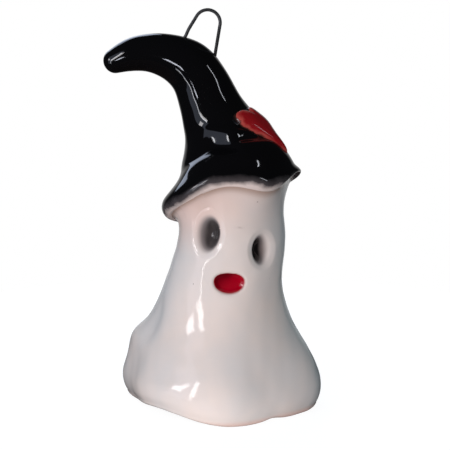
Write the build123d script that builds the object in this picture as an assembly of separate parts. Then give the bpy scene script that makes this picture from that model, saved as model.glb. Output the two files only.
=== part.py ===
from build123d import *

import os
from math import atan2, cos, exp, radians, sin, sqrt
from typing import NamedTuple

# A glazed ceramic ghost ornament in a bent hat, hollow and open underneath, hung by a wire loop.
# Millimetres and degrees. The foot stands on z = 0 round the origin, the face looks towards -Y
# and +Z is up. Directions are measured from +X towards +Y.


class Fold(NamedTuple):
    """A soft fold of the skirt: where it points, its reach and spread, and its reach at the hip."""

    direction: float
    reach: float
    spread: float
    hip_reach: float


class Station(NamedTuple):
    """A ring of the crown: the step that leads to it, the step's heading and lean, and its radius."""

    step: float
    heading: float
    lean: float
    radius: float


class BrimRow(NamedTuple):
    """A ring of the brim, in shares of its flare, gather, edge waves, height and shift to the crown."""

    flare: float
    gather: float
    waves: float
    rise: float
    shift: float


class Hollow(NamedTuple):
    """A bowl pressed into the face, and how deep the colour lies in it."""

    direction: float
    width: float
    height: float
    depth: float
    colour: float


# Body rings from the foot up, each rise measured from the ring below
FOOT_RADIUS = 21.4
HEM_RISE = 3.5
HEM_RADIUS = 23.2
SKIRT_RISE = 9.0
SKIRT_RADIUS = 21.8
HIP_RISE = 12.0
HIP_RADIUS = 20.0
WAIST_RISE = 12.0
WAIST_RADIUS = 17.4
WAIST_SHIFT = 0.5
CHEEK_RISE = 11.5
CHEEK_RADIUS = 16.3
CHEEK_SHIFT = 2.6
CHEEK_TILT = 0.3
HEAD_RISE = 10.2
HEAD_RADIUS = 15.1
HEAD_SHIFT = 2.6
WALL = 4.5

# Folds of the skirt, which die away above the hip
FRONT_FOLD = Fold(direction=-88, reach=5.8, spread=32, hip_reach=1.4)
RIGHT_FOLD = Fold(direction=-20, reach=6.8, spread=36, hip_reach=1.4)
BACK_RIGHT_FOLD = Fold(direction=48, reach=4.4, spread=28, hip_reach=1.2)
BACK_FOLD = Fold(direction=104, reach=5.4, spread=28, hip_reach=1.6)
LEFT_FOLD = Fold(direction=160, reach=7.3, spread=25, hip_reach=2.8)
FRONT_LEFT_FOLD = Fold(direction=-142, reach=4.4, spread=38, hip_reach=0.4)
FOLDS = [FRONT_FOLD, RIGHT_FOLD, BACK_RIGHT_FOLD, BACK_FOLD, LEFT_FOLD, FRONT_LEFT_FOLD]

# Face: heights are measured from the cheek ring. Each bowl is the end of an ellipsoid whose middle
# stands out of the skin by a share of its half depth
LEFT_EYE = Hollow(direction=-115, width=10.4, height=14.0, depth=3.0, colour=0.8)
LEFT_EYE_RISE = 5.2
RIGHT_EYE = Hollow(direction=-57, width=10.0, height=12.0, depth=3.0, colour=0.8)
RIGHT_EYE_RISE = 1.6
MOUTH = Hollow(direction=-92, width=8.8, height=8.0, depth=2.6, colour=1.6)
MOUTH_DROP = 8.6
MOUTH_LIP = 1.6
BOWL_STAND_OUT = 0.5

# Hat: tilt, the luting slip under each piece, and the vent that runs up from the hollow body
HAT_TILT_BACK = 23.0
HAT_ROLL = 12.0
SLIP = 0.4
SLIP_INSET = 0.4
VENT_RADIUS = 3.0

# Brim: a thick rolled edge in soft waves, highest on the side that the lean lifts
BRIM_RADIUS = 20.8
BRIM_LIFT = 3.6
BRIM_LEAN = 1.0
BRIM_WAVE = 0.8
BRIM_WAVES = 4
BRIM_HEIGHT = 10.0
CROWN_FOOT_RADIUS = 17.2
CROWN_SIDE = 3.4
CROWN_FORWARD = 2.0

# Rings of the brim from the head's rim, out under its edge and in again towards the crown
BRIM_ROWS = [
    BrimRow(flare=0.0, gather=0.0, waves=0.0, rise=0.0, shift=0.0),
    BrimRow(flare=0.4, gather=0.0, waves=0.35, rise=0.0, shift=0.1),
    BrimRow(flare=0.78, gather=0.0, waves=0.8, rise=-0.08, shift=0.2),
    BrimRow(flare=1.0, gather=0.0, waves=1.0, rise=0.0, shift=0.25),
    BrimRow(flare=1.0, gather=0.2, waves=0.8, rise=0.31, shift=0.4),
    BrimRow(flare=1.0, gather=0.6, waves=0.4, rise=0.62, shift=0.7),
    BrimRow(flare=1.0, gather=1.0, waves=0.0, rise=1.0, shift=1.0),
]

# Crown: its bent line is a row of steps; headings turn from upright towards -X, leans towards +Y
CROWN_BASE = Station(step=6.2, heading=20.5, lean=19.3, radius=14.5)
CROWN_SLOPE = Station(step=6.5, heading=18.3, lean=12.1, radius=11.5)
CROWN_WAIST = Station(step=6.55, heading=24.5, lean=5.3, radius=9.4)
CROWN_NECK = Station(step=6.3, heading=22, lean=2, radius=8.5)
CROWN_BEND = Station(step=8.0, heading=33, lean=2, radius=7.8)
CROWN_ARM = Station(step=10.0, heading=68.2, lean=1, radius=5.9)
CROWN_WRIST = Station(step=8.1, heading=92.3, lean=0, radius=4.65)
CROWN_TIP = Station(step=5.35, heading=111, lean=0, radius=3.5)
CROWN_STATIONS = [
    CROWN_BASE,
    CROWN_SLOPE,
    CROWN_WAIST,
    CROWN_NECK,
    CROWN_BEND,
    CROWN_ARM,
    CROWN_WRIST,
    CROWN_TIP,
]
# The foot's short land, which starts the rings square to the brim's top
FOOT_LAND = 1.2
FOOT_DRAFT = 0.4
# The round tip is a ball a little smaller than the last ring, so that the two meet cleanly
BALL_SHARE = 0.98
CORE_RADIUS = 5.0
CORE_END_RADIUS = 3.0
CORE_DEPTH = 20.0

# Heart laid on the crown's right slope: where it sits, which way it faces, how it is turned and bent
HEART_STATION = CROWN_SLOPE
HEART_DIRECTION = -26.0
HEART_LIFT = 0.3
HEART_RISE = 1.6
HEART_FACING = -10.4
HEART_SLOPE = 44.6
HEART_TURN = 2.4
HEART_WIDTH = 16.0
HEART_LENGTH = 18.0
HEART_LOBE_SHARE = 0.54
HEART_STAND = 0.8
HEART_BEND = 15.0
HEART_ROOT = 9.0

# Wire loop: a round bow over two legs that are fired into the crown
WIRE_RADIUS = 0.5
WIRE_CLEARANCE = 0.05
LOOP_RADIUS = 3.7
LOOP_STATION = CROWN_BEND
LOOP_SIDE = 5.57
LOOP_RISE = 12.85
LEFT_LEG_LEAN = 32.0
RIGHT_LEG_LEAN = 9.6
LEG_SEAT = 7.0

# Points of a drawn ring, and how many thicknesses a cutter runs to pass right through
RING_POINTS = 24
THROUGH = 4
UP = Vector(0, 0, 1)
BACK = Vector(0, 1, 0)


def heading_vector(heading, lean):
    """Direction turned from upright towards -X by a heading and towards +Y by a lean."""
    turn, back = radians(heading), radians(lean)
    return Vector(-sin(turn) * cos(back), sin(back), cos(turn) * cos(back))


def tilted_plane(origin, heading, lean):
    """Plane square to a heading, with its own X kept towards the right."""
    normal = heading_vector(heading, lean)
    return Plane(origin=origin, x_dir=BACK.cross(normal), z_dir=normal)


def ring(plane, radius_at, lift_at=lambda angle: 0.0):
    """Closed smooth wire round a plane's origin."""
    points = []
    for index in range(RING_POINTS):
        angle = 360 * index / RING_POINTS
        radius = radius_at(angle)
        local = Vector(radius * cos(radians(angle)), radius * sin(radians(angle)), lift_at(angle))
        points.append(plane.from_local_coords(local))
    return Wire([Edge.make_spline(points, periodic=True)])


def offset_plane(plane, side, forward, up):
    """A plane moved along its own directions."""
    origin = plane.from_local_coords(Vector(side, -forward, up))
    return Plane(origin=origin, x_dir=plane.x_dir, z_dir=plane.z_dir)


def fold_reach(angle, at_hip):
    """How far the folds stand out of the plain cone in one direction, at the hip or below it."""
    total = 0.0
    for fold in FOLDS:
        away = (angle - fold.direction + 180) % 360 - 180
        reach = fold.hip_reach if at_hip else fold.reach
        total += reach * exp(-((away / fold.spread) ** 2))
    return total


HEM_HEIGHT = HEM_RISE
SKIRT_HEIGHT = HEM_HEIGHT + SKIRT_RISE
HIP_HEIGHT = SKIRT_HEIGHT + HIP_RISE
WAIST_HEIGHT = HIP_HEIGHT + WAIST_RISE
CHEEK_HEIGHT = WAIST_HEIGHT + CHEEK_RISE
HEAD_HEIGHT = CHEEK_HEIGHT + HEAD_RISE
HEAD_TOP = Vector(HEAD_SHIFT, 0, HEAD_HEIGHT)
SEAT = tilted_plane(HEAD_TOP, HAT_ROLL, HAT_TILT_BACK)


def body_loft(inset, foot_height, top):
    """The body's skin drawn in by an inset, from a foot height to a top plane."""

    def skirt_ring(height, radius):
        return ring(Plane((0, 0, height)), lambda angle: radius - inset + fold_reach(angle, False))

    hip = ring(Plane((0, 0, HIP_HEIGHT)), lambda angle: HIP_RADIUS - inset + fold_reach(angle, True))
    cheek_middle = Vector(CHEEK_SHIFT, 0, CHEEK_HEIGHT)
    cheek = tilted_plane(cheek_middle, HAT_ROLL * CHEEK_TILT, HAT_TILT_BACK * CHEEK_TILT)
    wires = [
        skirt_ring(foot_height, FOOT_RADIUS),
        skirt_ring(HEM_HEIGHT, HEM_RADIUS),
        skirt_ring(SKIRT_HEIGHT, SKIRT_RADIUS),
        hip,
        ring(Plane((WAIST_SHIFT, 0, WAIST_HEIGHT)), lambda angle: WAIST_RADIUS - inset),
        ring(cheek, lambda angle: CHEEK_RADIUS - inset),
        ring(top, lambda angle: HEAD_RADIUS - inset),
    ]
    return Solid.make_loft(wires)


def face_plane(skin, direction, height):
    """Plane on the skin where a level ray from the head's middle leaves it, upright to the viewer."""
    outwards = Vector(cos(radians(direction)), sin(radians(direction)), 0)
    ray = Axis(origin=(HEAD_SHIFT, 0, height), direction=outwards)
    point, normal = skin.shell().find_intersection_points(ray)[-1]
    if normal.dot(outwards) < 0:
        normal = -normal
    return Plane(origin=point, x_dir=UP.cross(normal), z_dir=normal)


def bowl(hollow, grown=0.0):
    """Ellipsoid whose lower cap is a hollow, in the plane of the hollow's rim."""
    half_depth = hollow.depth / (1 - BOWL_STAND_OUT)
    rim = sqrt(1 - BOWL_STAND_OUT**2)
    half_width = hollow.width / 2 / rim
    half_height = hollow.height / 2 / rim
    ball = scale(Sphere(1), by=(half_width + grown, half_height + grown, half_depth + grown))
    return Pos(0, 0, half_depth - hollow.depth) * ball


def colour_pool(hollow, cutter):
    """The glaze that fills the bottom of a hollow to its colour depth."""
    reach = hollow.width + hollow.height
    below = Box(reach, reach, reach, align=(Align.CENTER, Align.CENTER, Align.MAX))
    return cutter & Pos(0, 0, hollow.colour - hollow.depth) * below


def mouth_bowl():
    """The mouth's bowl with its straight upper lip."""
    reach = MOUTH.width + MOUTH.height
    below = Box(reach, reach, reach, align=(Align.CENTER, Align.MAX, Align.CENTER))
    return bowl(MOUTH) & Pos(0, MOUTH_LIP, 0) * below


def ghost_face():
    """The hollow body with its pressed face, and the three pools of colour that lie in it."""
    skin = body_loft(0.0, 0.0, SEAT)
    ceiling = offset_plane(SEAT, 0, 0, -WALL)
    body = skin - body_loft(WALL, -WALL, ceiling)
    body -= offset_plane(SEAT, CROWN_SIDE, CROWN_FORWARD, 0) * Cylinder(VENT_RADIUS, THROUGH * WALL)
    features = {
        "left_eye_colour": (LEFT_EYE, CHEEK_HEIGHT + LEFT_EYE_RISE, bowl(LEFT_EYE)),
        "right_eye_colour": (RIGHT_EYE, CHEEK_HEIGHT + RIGHT_EYE_RISE, bowl(RIGHT_EYE)),
        "mouth_colour": (MOUTH, CHEEK_HEIGHT - MOUTH_DROP, mouth_bowl()),
    }
    pools = {}
    cutters = []
    for name, (hollow, height, cutter) in features.items():
        place = face_plane(skin, hollow.direction, height)
        body += (place * bowl(hollow, grown=WALL)) & skin
        cutters.append(place * cutter)
        pools[name] = place * colour_pool(hollow, cutter)
    for cutter in cutters:
        body -= cutter
    return body, pools


def edge_lift(angle):
    """Height of the brim's edge above its foot in one direction."""
    turn = radians(angle)
    return BRIM_LIFT + BRIM_LEAN * cos(turn) + BRIM_WAVE * cos(BRIM_WAVES * turn)


def hat_brim(foot, height):
    """Thick rolled brim, from the head's rim out to its waved edge and back up to the crown."""
    flare = BRIM_RADIUS - HEAD_RADIUS
    gather = BRIM_RADIUS - CROWN_FOOT_RADIUS
    wires = []
    for row in BRIM_ROWS:
        radius = HEAD_RADIUS + flare * row.flare - gather * row.gather
        plane = offset_plane(foot, CROWN_SIDE * row.shift, CROWN_FORWARD * row.shift, height * row.rise)
        wires.append(ring(plane, lambda angle: radius, lambda angle: row.waves * edge_lift(angle)))
    bore = offset_plane(foot, CROWN_SIDE, CROWN_FORWARD, 0)
    return Solid.make_loft(wires) - bore * Cylinder(CORE_RADIUS, THROUGH * height)


def slip_ring(plane, radius, bore):
    """Thin ring of slip that lutes two pieces of the hat together."""
    ends = (Align.CENTER, Align.CENTER, Align.MIN)
    disc = plane * Cylinder(radius - SLIP_INSET, SLIP, align=ends)
    return disc - bore * Cylinder(CORE_RADIUS, THROUGH * SLIP)


def crown_line(foot):
    """Middle of each of the crown's rings, by its station, up the bent line from the foot."""
    line = {}
    point = foot.origin
    for station in CROWN_STATIONS:
        point = point + heading_vector(station.heading, station.lean) * station.step
        line[station] = point
    return line


def crown_skin(foot, line):
    """The crown's outer form: rings along its bent line, closed by a round tip."""
    land = offset_plane(foot, 0, 0, FOOT_LAND)
    wires = [ring(foot, lambda angle: CROWN_FOOT_RADIUS), ring(land, lambda angle: CROWN_FOOT_RADIUS - FOOT_DRAFT)]
    for station, following in zip(CROWN_STATIONS, CROWN_STATIONS[1:] + [CROWN_TIP]):
        heading = (station.heading + following.heading) / 2
        lean = (station.lean + following.lean) / 2
        plane = tilted_plane(line[station], heading, lean)
        wires.append(ring(plane, lambda angle: station.radius))
    taper = atan2(CROWN_WRIST.radius - CROWN_TIP.radius, CROWN_TIP.step)
    ball_radius = CROWN_TIP.radius / cos(taper)
    ball = Plane(origin=plane.origin - plane.z_dir * (ball_radius * sin(taper)), z_dir=plane.z_dir)
    return Solid.make_loft(wires) + ball * Sphere(ball_radius * BALL_SHARE)


def crown_core(foot, line):
    """Tapered bore that lets the thick foot of the crown dry and vent."""
    along = (line[CROWN_SLOPE] - foot.origin).normalized()
    start = Plane(origin=foot.origin - along * CORE_RADIUS, x_dir=BACK.cross(along), z_dir=along)
    ends = (Align.CENTER, Align.CENTER, Align.MIN)
    return start * Cone(CORE_RADIUS, CORE_END_RADIUS, CORE_RADIUS + CORE_DEPTH, align=ends)


def heart_outline():
    """Heart with two round lobes and straight sides, its tip on -Y and the lobes' top on +Y."""
    lobe = HEART_WIDTH * HEART_LOBE_SHARE / 2
    side = HEART_WIDTH / 2 - lobe
    lobe_height = HEART_LENGTH / 2 - lobe
    tip = Vector(0, -HEART_LENGTH / 2)
    reach = Vector(side, lobe_height) - tip
    straight = sqrt(reach.length**2 - lobe**2)
    touch = tip + (reach * straight + Vector(reach.Y, -reach.X) * lobe) * (straight / reach.length**2)
    right = [tip, touch, Vector(side, lobe_height)]
    left = [Vector(-point.X, point.Y) for point in reversed(right[1:])]
    corners = [(point.X, point.Y) for point in right + left]
    lobes = Locations((side, lobe_height), (-side, lobe_height)) * Circle(lobe)
    return Sketch() + lobes + make_face(Polyline(*corners, close=True))


def heart_applique(line, skin, brim):
    """Clay heart bent round its own axis, cut away behind where it lies on the hat."""
    aim = radians(HEART_DIRECTION)
    ray = Axis(origin=line[HEART_STATION], direction=(cos(aim), sin(aim), 0))
    seat = skin.shell().find_intersection_points(ray)[-1][0]
    facing, slope = radians(HEART_FACING), radians(HEART_SLOPE)
    normal = Vector(cos(slope) * cos(facing), cos(slope) * sin(facing), sin(slope))
    wall = Plane(origin=seat, x_dir=UP.cross(normal), z_dir=normal) * Rot(0, 0, HEART_TURN)
    face = wall * Pos(0, HEART_RISE, HEART_LIFT)
    block = Pos(0, 0, -HEART_ROOT) * extrude(heart_outline(), HEART_ROOT + HEART_STAND)
    drum = Rot(90, 0, 0) * Cylinder(HEART_BEND, THROUGH * HEART_LENGTH)
    heart = face * (block & Pos(0, 0, HEART_STAND - HEART_BEND) * drum) - brim - skin
    return max(heart.solids(), key=lambda solid: solid.volume)


def wire_path(skin, line):
    """Centre line of the loop: one leg out of the crown, round the bow and down into the other."""
    middle = line[LOOP_STATION] + Vector(LOOP_SIDE, 0, LOOP_RISE)
    ends = []
    for lean, side in ((LEFT_LEG_LEAN, -1), (RIGHT_LEG_LEAN, 1)):
        upwards = Vector(sin(radians(lean)), 0, cos(radians(lean)))
        outwards = BACK.cross(upwards) * side
        bow_end = middle + outwards * LOOP_RADIUS
        hits = skin.shell().find_intersection_points(Axis(origin=bow_end, direction=-upwards))
        ahead = [point for point, normal in hits if (point - bow_end).dot(upwards) < 0]
        ends.append((bow_end, ahead[0] - upwards * LEG_SEAT))
    (left_bow, left_end), (right_bow, right_end) = ends
    crest = middle + ((left_bow + right_bow) * 0.5 - middle).normalized() * LOOP_RADIUS
    bow = ThreePointArc(left_bow, crest, right_bow)
    return Line(left_end, left_bow) + bow + Line(right_bow, right_end)


def wire_tube(path, radius):
    """Round wire of one radius along the loop's centre line."""
    start = Plane(origin=path @ 0, z_dir=path % 0)
    return sweep(start * Circle(radius), path=path)


def main():
    """Builds every piece in place and writes one file for each."""
    body, pools = ghost_face()
    brim_foot = offset_plane(SEAT, 0, 0, SLIP)
    brim_top = offset_plane(brim_foot, CROWN_SIDE, CROWN_FORWARD, BRIM_HEIGHT)
    crown_foot = offset_plane(brim_top, 0, 0, SLIP)
    brim = hat_brim(brim_foot, BRIM_HEIGHT)
    line = crown_line(crown_foot)
    skin = crown_skin(crown_foot, line)
    path = wire_path(skin, line)
    crown = skin - crown_core(crown_foot, line) - wire_tube(path, WIRE_RADIUS + WIRE_CLEARANCE)
    pieces = {
        "ghost_body": body,
        **pools,
        "neck_slip": slip_ring(SEAT, HEAD_RADIUS, offset_plane(SEAT, CROWN_SIDE, CROWN_FORWARD, 0)),
        "hat_brim": brim,
        "crown_slip": slip_ring(brim_top, CROWN_FOOT_RADIUS, brim_top),
        "hat_crown": crown,
        "heart_applique": heart_applique(line, skin, hat_brim(brim_foot, BRIM_HEIGHT + SLIP)),
        "hanging_wire": wire_tube(path, WIRE_RADIUS),
    }
    os.makedirs("parts", exist_ok=True)
    for name, shape in pieces.items():
        export_step(shape, f"parts/{name}.step")
        print(name, len(shape.solids()), round(shape.volume, 1))


if __name__ == "__main__":
    main()
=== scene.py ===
"""A glazed ceramic ghost in a bent black hat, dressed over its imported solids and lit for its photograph.

Sizes are in millimetres, and directions round a piece are in degrees from its right towards its back.
"""

import logging
from dataclasses import dataclass, field
from enum import Enum
from math import atan, cos, pi, radians, sin
from typing import Any

import bpy
import numpy as np
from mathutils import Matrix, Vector
from mathutils.bvhtree import BVHTree


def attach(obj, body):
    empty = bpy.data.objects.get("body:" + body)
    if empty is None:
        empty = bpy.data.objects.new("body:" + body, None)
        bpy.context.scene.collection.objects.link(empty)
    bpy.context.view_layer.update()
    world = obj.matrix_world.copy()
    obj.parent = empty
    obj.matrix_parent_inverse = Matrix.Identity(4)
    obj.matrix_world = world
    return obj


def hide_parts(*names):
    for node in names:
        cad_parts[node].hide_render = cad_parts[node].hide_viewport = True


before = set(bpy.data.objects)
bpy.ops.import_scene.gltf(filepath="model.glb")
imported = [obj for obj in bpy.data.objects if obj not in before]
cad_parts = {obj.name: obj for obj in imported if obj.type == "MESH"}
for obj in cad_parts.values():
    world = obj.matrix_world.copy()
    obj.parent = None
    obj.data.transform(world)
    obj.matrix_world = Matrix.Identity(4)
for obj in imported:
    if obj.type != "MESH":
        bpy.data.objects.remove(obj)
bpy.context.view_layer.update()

LOG = logging.getLogger("ceramic_ghost")
MM = 0.001
BODY = "root"
UP = np.array([0.0, 0.0, 1.0])
BACK = np.array([0.0, 1.0, 0.0])
WHITE = (1.0, 1.0, 1.0, 1.0)
Array = np.ndarray
Tree = bpy.types.NodeTree
Socket = bpy.types.NodeSocket
Material = bpy.types.Material
Piece = bpy.types.Object
Pair = tuple[float, float]
Point = tuple[float, float, float]


class Slot(Enum):
    """The record's finishes."""

    WHITE = "white_glaze"
    BLACK = "black_glaze"
    HEART = "heart_red_glaze"
    MOUTH = "mouth_red_glaze"
    EYE = "eye_underglaze"
    SLIP = "luting_slip"
    WIRE = "kiln_wire"


class Mark(Enum):
    """What a mesh's own attributes say of its surface."""

    EYE = "eye_colour"
    MOUTH = "mouth_colour"
    BARE = "bare_clay"
    # Brown in the crease under the brim: partly thin glaze, partly painted shade
    CREASE = "crease"
    # Thin glaze on the body; on the hat, the band of crease brown that is partly painted shade
    THIN = "thin_glaze"
    EDGE = "edge_distance"
    HEART = "heart_share"


Marks = dict[Mark, Array]
WHITE_MARKS = (Mark.EYE, Mark.MOUTH, Mark.BARE, Mark.THIN, Mark.CREASE)


def unit(vectors: Array) -> Array:
    """Scales vectors to length one."""
    return vectors / np.linalg.norm(vectors, axis=-1, keepdims=True)


def bell(away: Array, spread: float) -> Array:
    """A bell curve of height one."""
    return np.exp(-((away / spread) ** 2))


def ease(value: Array, low: float | Array, high: float | Array) -> Array:
    """A smooth step from 0 at one value to 1 at another."""
    share = np.clip((value - low) / (high - low), 0.0, 1.0)
    return share * share * (3 - 2 * share)


def turned(angles: Array, middle: float) -> Array:
    """Degrees from one direction to others, between -180 and 180."""
    return (angles - middle + 180) % 360 - 180


def heading_vector(heading: float, lean: float) -> Array:
    """Direction turned from upright towards -X by a heading and towards +Y by a lean."""
    turn, back = radians(heading), radians(lean)
    return np.array([-sin(turn) * cos(back), sin(back), cos(turn) * cos(back)])


@dataclass(frozen=True)
class Swell:
    """The slow swell that a hand leaves in clay: its height, its spacing in millimetres and its seed."""

    height: float
    wave: float
    seed: int
    count: int = 7
    wave_shares: Pair = (0.7, 1.7)
    level: float = 1.2

    def over(self, points: Array) -> Array:
        """Works out the swell at each point.

        Args:
            points: Places in millimetres.

        Returns:
            Heights, mostly within the swell's own height.
        """
        draws = np.random.default_rng(self.seed)
        total = np.zeros(points.shape[:-1])
        for _ in range(self.count):
            direction = unit(draws.normal(size=3))
            pace = 2 * pi / (self.wave * draws.uniform(*self.wave_shares))
            total += np.sin(points @ direction * pace + draws.uniform(0, 2 * pi))
        return self.height * (total / self.count**0.5 / self.level)


@dataclass(frozen=True)
class Touch:
    """A hand's mark on one side of a round piece: how much, which way, and how wide in degrees."""

    size: float
    direction: float
    spread: float

    def around(self, angles: Array) -> Array:
        """How much of it each direction gets."""
        return self.size * bell(turned(angles, self.direction), self.spread)


@dataclass(frozen=True)
class Place:
    """A spot with its own right, up and outward directions, in millimetres."""

    origin: Array
    right: Array
    out: Array

    @property
    def up(self) -> Array:
        """The direction square to right and out."""
        return np.cross(self.out, self.right)

    @classmethod
    def level(cls, middle: Point) -> "Place":
        """A place whose out is straight up."""
        return cls(np.array(middle), np.array([1.0, 0.0, 0.0]), UP)

    @classmethod
    def tilted(cls, origin: Array, heading: float, lean: float) -> "Place":
        """A place square to a heading, with its right kept towards +X."""
        out = heading_vector(heading, lean)
        return cls(np.asarray(origin, float), unit(np.cross(BACK, out)), out)

    @classmethod
    def facing(cls, origin: Array, out: Array) -> "Place":
        """A place on a wall, with its up kept towards +Z."""
        return cls(np.asarray(origin, float), unit(np.cross(UP, out)), unit(np.asarray(out, float)))

    def moved(self, right: float, up: float, out: float) -> "Place":
        """The same directions at another spot."""
        origin = self.origin + right * self.right + up * self.up + out * self.out
        return Place(origin, self.right, self.out)

    def spun(self, degrees: float) -> "Place":
        """The same spot turned about its outward direction."""
        turn = radians(degrees)
        return Place(self.origin, self.right * cos(turn) + self.up * sin(turn), self.out)

    def at(self, right: Array, up: Array, out: Array) -> Array:
        """Points given by their distances along the three directions."""
        parts = (right, self.right), (up, self.up), (out, self.out)
        return self.origin + sum(np.multiply.outer(np.asarray(size, float), axis) for size, axis in parts)

    def ring(self, angles: Array, radius: float | Array, lift: float | Array = 0.0) -> Array:
        """Makes a ring of points round the outward direction.

        Args:
            angles: Degrees from right towards up.
            radius: Reach in each direction.
            lift: Distance along the outward direction.

        Returns:
            The ring's points.
        """
        turn = np.radians(angles)
        still = np.zeros_like(turn)
        return self.at(radius * np.cos(turn), radius * np.sin(turn), still + lift)

    def measure(self, points: Array) -> tuple[Array, Array, Array]:
        """Distances of points along the three directions."""
        away = points - self.origin
        return away @ self.right, away @ self.up, away @ self.out


def smooth_rows(rows: Array, count: int, start: float = 0.0) -> tuple[Array, Array]:
    """Runs a natural cubic spline through whole rings.

    Args:
        rows: Rings of points from first to last.
        count: How many rings to return.
        start: Where to begin, in millimetres along the mean profile.

    Returns:
        The new rings, and the place of each given ring among them.
    """
    steps = np.linalg.norm(np.diff(rows, axis=0), axis=2).mean(axis=1)
    knots = np.concatenate([[0.0], np.cumsum(steps)])
    size = len(knots)
    system = np.eye(size)
    bends = np.zeros_like(rows)
    for i in range(1, size - 1):
        system[i, i - 1 : i + 2] = steps[i - 1], 2 * (steps[i - 1] + steps[i]), steps[i]
        bends[i] = 6 * ((rows[i + 1] - rows[i]) / steps[i] - (rows[i] - rows[i - 1]) / steps[i - 1])
    bends = np.linalg.solve(system, bends.reshape(size, -1)).reshape(rows.shape)
    at = np.linspace(start, knots[-1], count)
    low = np.clip(np.searchsorted(knots, at, side="right") - 1, 0, size - 2)
    span = steps[low][:, None, None]
    after = (at - knots[low])[:, None, None] / span
    before = 1 - after
    curve = (before**3 - before) * bends[low] + (after**3 - after) * bends[low + 1]
    fine = before * rows[low] + after * rows[low + 1] + curve * span**2 / 6
    return fine, (knots - start) / (knots[-1] - start) * (count - 1)


def ring_normals(rows: Array) -> Array:
    """Works out which way a skin faces.

    Args:
        rows: Rings of points from the skin's foot to its top.

    Returns:
        The outward direction at each point.
    """
    along = np.gradient(rows, axis=0)
    around = np.roll(rows, -1, axis=1) - np.roll(rows, 1, axis=1)
    return unit(np.cross(around, along))


def ring_faces(count: int, points: int) -> Array:
    """Numbers the corners of the four-sided faces between rings.

    Args:
        count: How many rings there are.
        points: How many points each ring has.

    Returns:
        Four corner numbers for each face.
    """
    low, side = np.meshgrid(np.arange(count - 1) * points, np.arange(points), indexing="ij")
    following = (side + 1) % points
    corners = low + side, low + following, low + points + following, low + points + side
    return np.stack(corners, axis=-1).reshape(-1, 4)


def make_mesh(name: str, points: Array, faces: list, marks: Marks | None = None) -> Piece:
    """Makes a smooth mesh object in the frame.

    Args:
        name: The piece's name.
        points: Corners in millimetres.
        faces: Corner numbers of each face.
        marks: Values to keep on the corners.

    Returns:
        The new object, linked to the scene.
    """
    mesh = bpy.data.meshes.new(name)
    mesh.from_pydata((points * MM).tolist(), [], faces)
    for mark, values in (marks or {}).items():
        layer = mesh.attributes.new(mark.value, "FLOAT", "POINT")
        layer.data.foreach_set("value", np.ascontiguousarray(values, dtype=np.float32))
    mesh.polygons.foreach_set("use_smooth", np.ones(len(mesh.polygons), dtype=bool))
    mesh.update()
    piece = bpy.data.objects.new(name, mesh)
    bpy.context.scene.collection.objects.link(piece)
    return piece


def skin_mesh(name: str, rows: Array, marks: Marks | None = None) -> Piece:
    """Makes a closed mesh of rings, with a fan over each end.

    Args:
        name: The piece's name.
        rows: Rings of points, counter-clockwise seen from the last one.
        marks: Values for each point of the rings.

    Returns:
        The new object.
    """
    count, points = rows.shape[:2]
    corners = np.concatenate([rows.reshape(-1, 3), [rows[0].mean(axis=0)], [rows[-1].mean(axis=0)]])
    faces = ring_faces(count, points).tolist()
    foot, top, last = count * points, count * points + 1, (count - 1) * points
    for side in range(points):
        following = (side + 1) % points
        faces.append([foot, following, side])
        faces.append([top, last + side, last + following])
    flat = {}
    for mark, values in (marks or {}).items():
        flat[mark] = np.concatenate([values.ravel(), [values[0].mean()], [values[-1].mean()]])
    return make_mesh(name, corners, faces, flat)


def hand_over(piece: Piece, material: Material, slot: Slot, *nodes: str) -> None:
    """Gives a piece its finish, hangs it under the root body, hides the solids that it stands for, and
    reports it.

    Args:
        piece: The finished mesh.
        material: What it is covered with.
        slot: The record's name for that finish; not used.
        nodes: The solids that it stands for.
    """
    piece.data.materials.clear()
    piece.data.materials.append(material)
    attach(piece, BODY)
    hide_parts(*nodes)
    LOG.info("%s: %d faces, %s", piece.name, len(piece.data.polygons), material.name)


def linear(colour: str) -> tuple[float, float, float, float]:
    """Turns an sRGB hex colour to linear light.

    Args:
        colour: Six hex digits after a number sign.

    Returns:
        Red, green, blue and an alpha of one.
    """
    parts = [int(colour[i : i + 2], 16) / 255 for i in (1, 3, 5)]
    light = [part / 12.92 if part <= 0.04045 else ((part + 0.055) / 1.055) ** 2.4 for part in parts]
    return (*light, 1.0)


def per_mm(size: float) -> float:
    """Texture scale at which one cell of a pattern is a size in millimetres."""
    return 1 / (size * MM)


def add_node(tree: Tree, kind: str, inputs: dict | None = None, **settings: Any) -> bpy.types.Node:
    """Adds one node to a tree.

    Args:
        tree: The tree to add to.
        kind: The node's type.
        inputs: Values or other nodes' sockets, by the name or number of the input.
        settings: The node's own settings.

    Returns:
        The new node.
    """
    node = tree.nodes.new(kind)
    for name, value in settings.items():
        setattr(node, name, value)
    for key, value in (inputs or {}).items():
        if isinstance(value, Socket):
            tree.links.new(value, node.inputs[key])
        else:
            node.inputs[key].default_value = value
    return node


def new_material(name: str) -> tuple[Material, Tree, bpy.types.Node]:
    """Starts a material.

    Args:
        name: The real material's name.

    Returns:
        The material, its node tree and its shader.
    """
    material = bpy.data.materials.new(name)
    material.use_nodes = True
    tree = material.node_tree
    return material, tree, tree.nodes["Principled BSDF"]


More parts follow.
